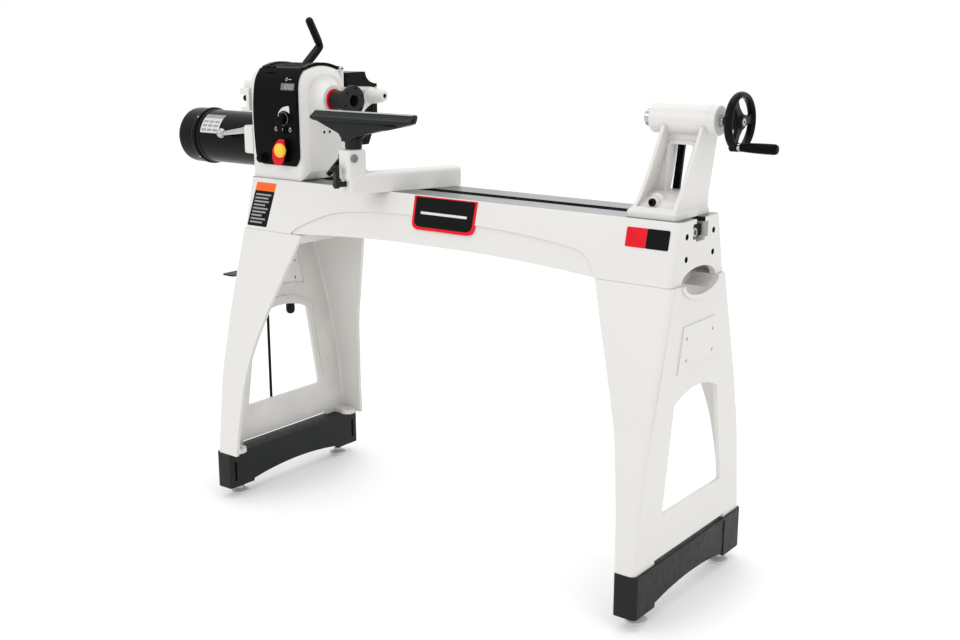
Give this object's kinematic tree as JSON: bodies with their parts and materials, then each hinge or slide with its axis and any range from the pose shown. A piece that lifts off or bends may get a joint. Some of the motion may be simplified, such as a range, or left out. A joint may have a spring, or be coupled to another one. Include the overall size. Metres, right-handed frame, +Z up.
{
  "type": "wood lathe",
  "caption": "Floor-standing wood lathe: cast bed on end legs, headstock with belt-driven spindle and motor, banjo with tool rest, and a tailstock with a quill driven by a handwheel.",
  "frame": {"origin": "on the floor, under the middle of the bounding box", "axes": "+X along the bed from headstock to tailstock, +Y away from the operator, +Z up"},
  "size_m": [1.847, 0.512, 1.3037],
  "materials": {
    "white_paint": "warm white gloss enamel on cast iron",
    "dark_casting": "satin dark grey paint on cast iron",
    "black_paint": "gloss black paint",
    "black_plastic": "black moulded plastic with a soft sheen",
    "machined": "turned aluminium",
    "steel": "plain machined steel",
    "chrome": "bright plating",
    "red_plastic": "red moulded plastic",
    "rubber": "ribbed belt rubber",
    "pad": "pale grey pad on a plated stud",
    "copper": "copper windings in laminations"
  },
  "bodies": {
    "stand": {"bed_casting": "white_paint", "leg_right": "white_paint", "leg_left": "white_paint", "bed_end_stop": "black_paint", "foot_base_right": "dark_casting", "foot_base_left": "dark_casting", "tool_shelf": "steel"},
    "leveling_foot_right_a": {"leveling_foot_right_a": "pad"},
    "leveling_foot_right_b": {"leveling_foot_right_b": "pad"},
    "leveling_foot_left_a": {"leveling_foot_left_a": "pad"},
    "leveling_foot_left_b": {"leveling_foot_left_b": "pad"},
    "knockout_bar": {"knockout_bar": "dark_casting"},
    "faceplate_wrench": {"faceplate_wrench": "black_plastic"},
    "headstock": {"headstock_casting": "white_paint", "control_panel": "black_plastic", "inverter_box": "black_paint", "rear_arm": "white_paint", "switch_body": "black_plastic", "index_bracket": "white_paint", "headstock_clamp_plate": "steel", "spindle_bearing_front": "steel", "spindle_bearing_rear": "steel", "seal_ring": "red_plastic", "drive_belt": "rubber"},
    "top_cover": {"top_cover": "black_plastic"},
    "speed_knob": {"speed_knob": "chrome"},
    "direction_switch": {"direction_switch": "black_plastic"},
    "panel_latch_knob": {"panel_latch_knob": "black_plastic"},
    "stop_paddle": {"stop_paddle": "red_plastic"},
    "index_pin": {"index_pin": "black_paint"},
    "tension_lever": {"tension_lever": "black_paint"},
    "motor_lock_lever": {"motor_lock_lever": "chrome"},
    "headstock_clamp_lever": {"headstock_clamp_lever": "black_paint"},
    "spindle": {"spindle": "steel", "spindle_pulley": "machined", "outboard_handwheel": "black_paint", "faceplate": "dark_casting"},
    "motor": {"motor_plate": "black_paint", "motor_housing": "black_paint", "motor_fan_cover": "black_paint", "motor_stator": "copper"},
    "rotor": {"motor_rotor": "steel", "motor_pulley": "machined"},
    "banjo_clamp": {"banjo_clamp_plate": "steel"},
    "banjo_slider": {"banjo_slider": "steel"},
    "banjo": {"banjo_casting": "white_paint", "tool_rest_lock_plug": "black_paint"},
    "banjo_clamp_handle": {"banjo_clamp_handle": "dark_casting"},
    "tool_rest_lock_lever": {"tool_rest_lock_lever": "black_paint"},
    "tool_rest_sleeve": {"tool_rest_sleeve": "steel"},
    "tool_rest": {"tool_rest": "dark_casting"},
    "tailstock": {"tailstock_casting": "white_paint", "tailstock_clamp_plate": "steel"},
    "tailstock_clamp_lever": {"tailstock_clamp_lever": "black_paint"},
    "quill_lock_lever": {"quill_lock_lever": "black_paint"},
    "quill": {"quill": "chrome"},
    "handwheel": {"lead_screw": "steel", "tailstock_handwheel": "black_paint"},
    "crank_handle": {"crank_handle": "black_plastic"}
  },
  "joints": [
    {"name": "headstock_slide", "type": "slide", "parent": "stand", "child": "headstock", "axis": [1, 0, 0], "range_m": [0, 0.06]},
    {"name": "headstock_clamp_turn", "type": "hinge", "parent": "headstock", "child": "headstock_clamp_lever", "pos_m": [-0.4685, 0.105, 0.893], "axis": [0, 1, 0], "range_deg": [-75, 0]},
    {"name": "rotor_spin", "type": "hinge", "parent": "motor", "child": "rotor", "pos_m": [-0.5655, 0.03, 0.967], "axis": [1, 0, 0], "continuous": true},
    {"name": "spindle_spin", "type": "hinge", "parent": "headstock", "child": "spindle", "pos_m": [-0.5655, 0, 1.09], "axis": [1, 0, 0], "continuous": true},
    {"name": "motor_tilt", "type": "hinge", "parent": "headstock", "child": "motor", "pos_m": [-0.5775, 0.072, 0.945], "axis": [1, 0, 0], "range_deg": [-3, 0], "deforming": ["drive_belt"]},
    {"name": "tension_lever_swing", "type": "hinge", "parent": "headstock", "child": "tension_lever", "pos_m": [-0.5305, 0.094, 1.148], "axis": [1, 0, 0], "range_deg": [-15, 0]},
    {"name": "motor_lock_turn", "type": "hinge", "parent": "headstock", "child": "motor_lock_lever", "pos_m": [-0.6115, -0.068, 1.001], "axis": [0, 1, 0], "range_deg": [-60, 0]},
    {"name": "index_pin_slide", "type": "slide", "parent": "headstock", "child": "index_pin", "axis": [0, 1, 0], "range_m": [0, 0.008]},
    {"name": "speed_knob_turn", "type": "hinge", "parent": "headstock", "child": "speed_knob", "pos_m": [-0.4285, -0.105, 1.043], "axis": [0, 1, 0], "range_deg": [-135, 135]},
    {"name": "direction_switch_turn", "type": "hinge", "parent": "headstock", "child": "direction_switch", "pos_m": [-0.4245, -0.1, 1.012], "axis": [0, 1, 0], "range_deg": [-45, 45]},
    {"name": "panel_latch_turn", "type": "hinge", "parent": "headstock", "child": "panel_latch_knob", "pos_m": [-0.5185, -0.1, 0.934], "axis": [0, 1, 0], "range_deg": [0, 90]},
    {"name": "stop_paddle_swing", "type": "hinge", "parent": "headstock", "child": "stop_paddle", "pos_m": [-0.4275, -0.104, 0.987], "axis": [1, 0, 0], "range_deg": [-30, 3], "stiffness_Nm_per_rad": 0.3},
    {"name": "top_cover_hinge", "type": "hinge", "parent": "headstock", "child": "top_cover", "pos_m": [-0.465, 0.072, 1.17], "axis": [1, 0, 0], "range_deg": [-75, 0]},
    {"name": "banjo_slide", "type": "slide", "parent": "stand", "child": "banjo_clamp", "axis": [1, 0, 0], "range_m": [-0.03, 0.25]},
    {"name": "banjo_swivel", "type": "hinge", "parent": "banjo_clamp", "child": "banjo_slider", "pos_m": [-0.0575, 0, 0.89], "axis": [0, 0, 1], "range_deg": [-20, 20]},
    {"name": "banjo_cross_slide", "type": "slide", "parent": "banjo_slider", "child": "banjo", "axis": [0.3518, 0.9361, 0], "range_m": [-0.03, 0.05]},
    {"name": "banjo_clamp_turn", "type": "hinge", "parent": "banjo", "child": "banjo_clamp_handle", "pos_m": [-0.0575, 0, 0.904], "axis": [0.3518, 0.9361, 0], "range_deg": [-20, 60]},
    {"name": "tool_rest_lock_turn", "type": "hinge", "parent": "banjo", "child": "tool_rest_lock_lever", "pos_m": [-0.12365, -0.17598, 0.968], "axis": [0.9361, -0.3518, 0], "range_deg": [-45, 90]},
    {"name": "tool_rest_turn", "type": "hinge", "parent": "banjo", "child": "tool_rest_sleeve", "pos_m": [-0.11942, -0.16475, 0.95], "axis": [0, 0, 1], "range_deg": [-20, 45]},
    {"name": "tool_rest_lift", "type": "slide", "parent": "tool_rest_sleeve", "child": "tool_rest", "axis": [0, 0, 1], "range_m": [0, 0.04]},
    {"name": "tailstock_slide", "type": "slide", "parent": "stand", "child": "tailstock", "axis": [1, 0, 0], "range_m": [-0.2, 0]},
    {"name": "tailstock_clamp_turn", "type": "hinge", "parent": "tailstock", "child": "tailstock_clamp_lever", "pos_m": [0.6605, 0.037, 0.914], "axis": [0, 1, 0], "range_deg": [0, 22]},
    {"name": "handwheel_turn", "type": "hinge", "parent": "tailstock", "child": "handwheel", "pos_m": [0.7, 0, 1.09], "axis": [1, 0, 0], "range_deg": [0, 7920]},
    {"name": "quill_slide", "type": "slide", "parent": "tailstock", "child": "quill", "axis": [-1, 0, 0], "range_m": [0, 0.1101]},
    {"name": "crank_spin", "type": "hinge", "parent": "handwheel", "child": "crank_handle", "pos_m": [0.9, -0.025, 1.04], "axis": [1, 0, 0], "continuous": true},
    {"name": "quill_lock_turn", "type": "hinge", "parent": "tailstock", "child": "quill_lock_lever", "pos_m": [0.6425, 0.05, 1.09], "axis": [0, 1, 0], "range_deg": [-40, 40]},
    {"name": "leveling_foot_right_a_turn", "type": "hinge", "parent": "stand", "child": "leveling_foot_right_a", "pos_m": [0.729, -0.198, 0.02], "axis": [0, 0, 1], "range_deg": [-360, 360]},
    {"name": "leveling_foot_right_b_turn", "type": "hinge", "parent": "stand", "child": "leveling_foot_right_b", "pos_m": [0.729, 0.198, 0.02], "axis": [0, 0, 1], "range_deg": [-360, 360]},
    {"name": "leveling_foot_left_a_turn", "type": "hinge", "parent": "stand", "child": "leveling_foot_left_a", "pos_m": [-0.553, 0.198, 0.02], "axis": [0, 0, 1], "range_deg": [-360, 360]},
    {"name": "leveling_foot_left_b_turn", "type": "hinge", "parent": "stand", "child": "leveling_foot_left_b", "pos_m": [-0.553, -0.198, 0.02], "axis": [0, 0, 1], "range_deg": [-360, 360]},
    {"name": "knockout_bar_lift", "type": "slide", "parent": "stand", "child": "knockout_bar", "axis": [0, 0, 1], "range_m": [0, 0.1]},
    {"name": "faceplate_wrench_lift", "type": "slide", "parent": "stand", "child": "faceplate_wrench", "axis": [0, 0, 1], "range_m": [0, 0.045]}
  ],
  "couplings": [
    {"joint": "spindle_spin", "follows": "rotor_spin", "ratio": 0.66667},
    {"joint": "tension_lever_swing", "follows": "motor_tilt", "ratio": 5},
    {"joint": "quill_slide", "follows": "handwheel_turn", "m_per_rad": 0.00079577}
  ]
}
